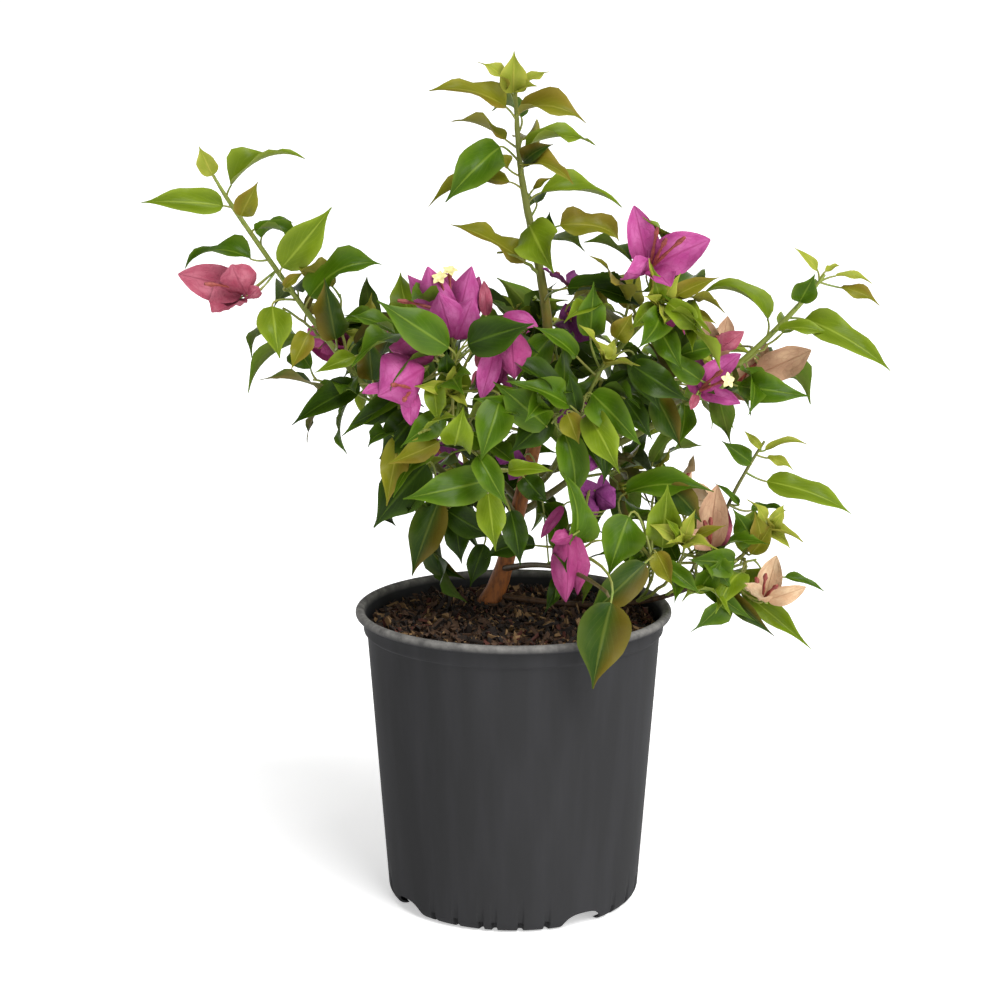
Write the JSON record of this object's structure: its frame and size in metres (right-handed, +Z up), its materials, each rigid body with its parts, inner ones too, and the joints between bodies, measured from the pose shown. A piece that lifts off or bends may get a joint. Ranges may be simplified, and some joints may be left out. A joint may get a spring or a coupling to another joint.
{
  "type": "potted bougainvillea bush",
  "caption": "Young flowering shrub with a leaning trunk, arching leafy boughs and papery bracts, in a round black nursery pot.",
  "frame": {"origin": "centre of the pot's flat underside", "axes": "+Z up along the pot's axis, -Y towards the front of the plant, +X to its right"},
  "size_m": [0.378, 0.2545, 0.438],
  "materials": {
    "pot_plastic": "semi-matt black moulded plastic",
    "potting_mix": "moist shredded bark",
    "bark": "rough orange-brown bark",
    "green_wood": "smooth green young wood",
    "leaves": "glossy green leaves and magenta bracts",
    "young_leaves": "glossy yellow-green young leaves"
  },
  "bodies": {
    "root": {"pot": "pot_plastic", "potting_mix": "potting_mix", "trunk": "bark", "left_bough": "green_wood", "right_bough": "green_wood", "upper_right_bough": "green_wood", "front_left_bough": "green_wood", "front_right_bough": "green_wood", "low_right_bough": "green_wood", "low_right_shoot": "green_wood", "low_front_bough": "green_wood", "low_left_bough": "green_wood", "back_left_bough": "green_wood", "back_bough": "green_wood", "back_right_bough": "green_wood", "back_low_bough": "green_wood", "leader_top_leaves": "young_leaves", "leader_upper_leaves": "leaves", "leader_lower_leaves": "leaves", "left_tip_leaves": "young_leaves", "left_middle_leaves": "leaves", "left_lower_leaves": "leaves", "right_tip_leaves": "young_leaves", "right_middle_leaves": "leaves", "low_right_shoot_leaves": "leaves", "low_right_end_leaves": "leaves", "low_right_leaves": "leaves", "hanging_leaves": "leaves", "left_shoulder_leaves": "leaves", "front_left_leaves": "leaves", "front_centre_leaves": "leaves", "low_left_leaves": "leaves", "upper_right_leaves": "leaves", "centre_leaves": "leaves", "right_centre_leaves": "leaves", "low_front_leaves": "leaves", "back_left_leaves": "leaves", "back_leaves": "leaves", "back_right_leaves": "leaves", "back_low_leaves": "leaves", "back_low_right_leaves": "leaves", "inner_leaves": "leaves"}
  },
  "joints": []
}
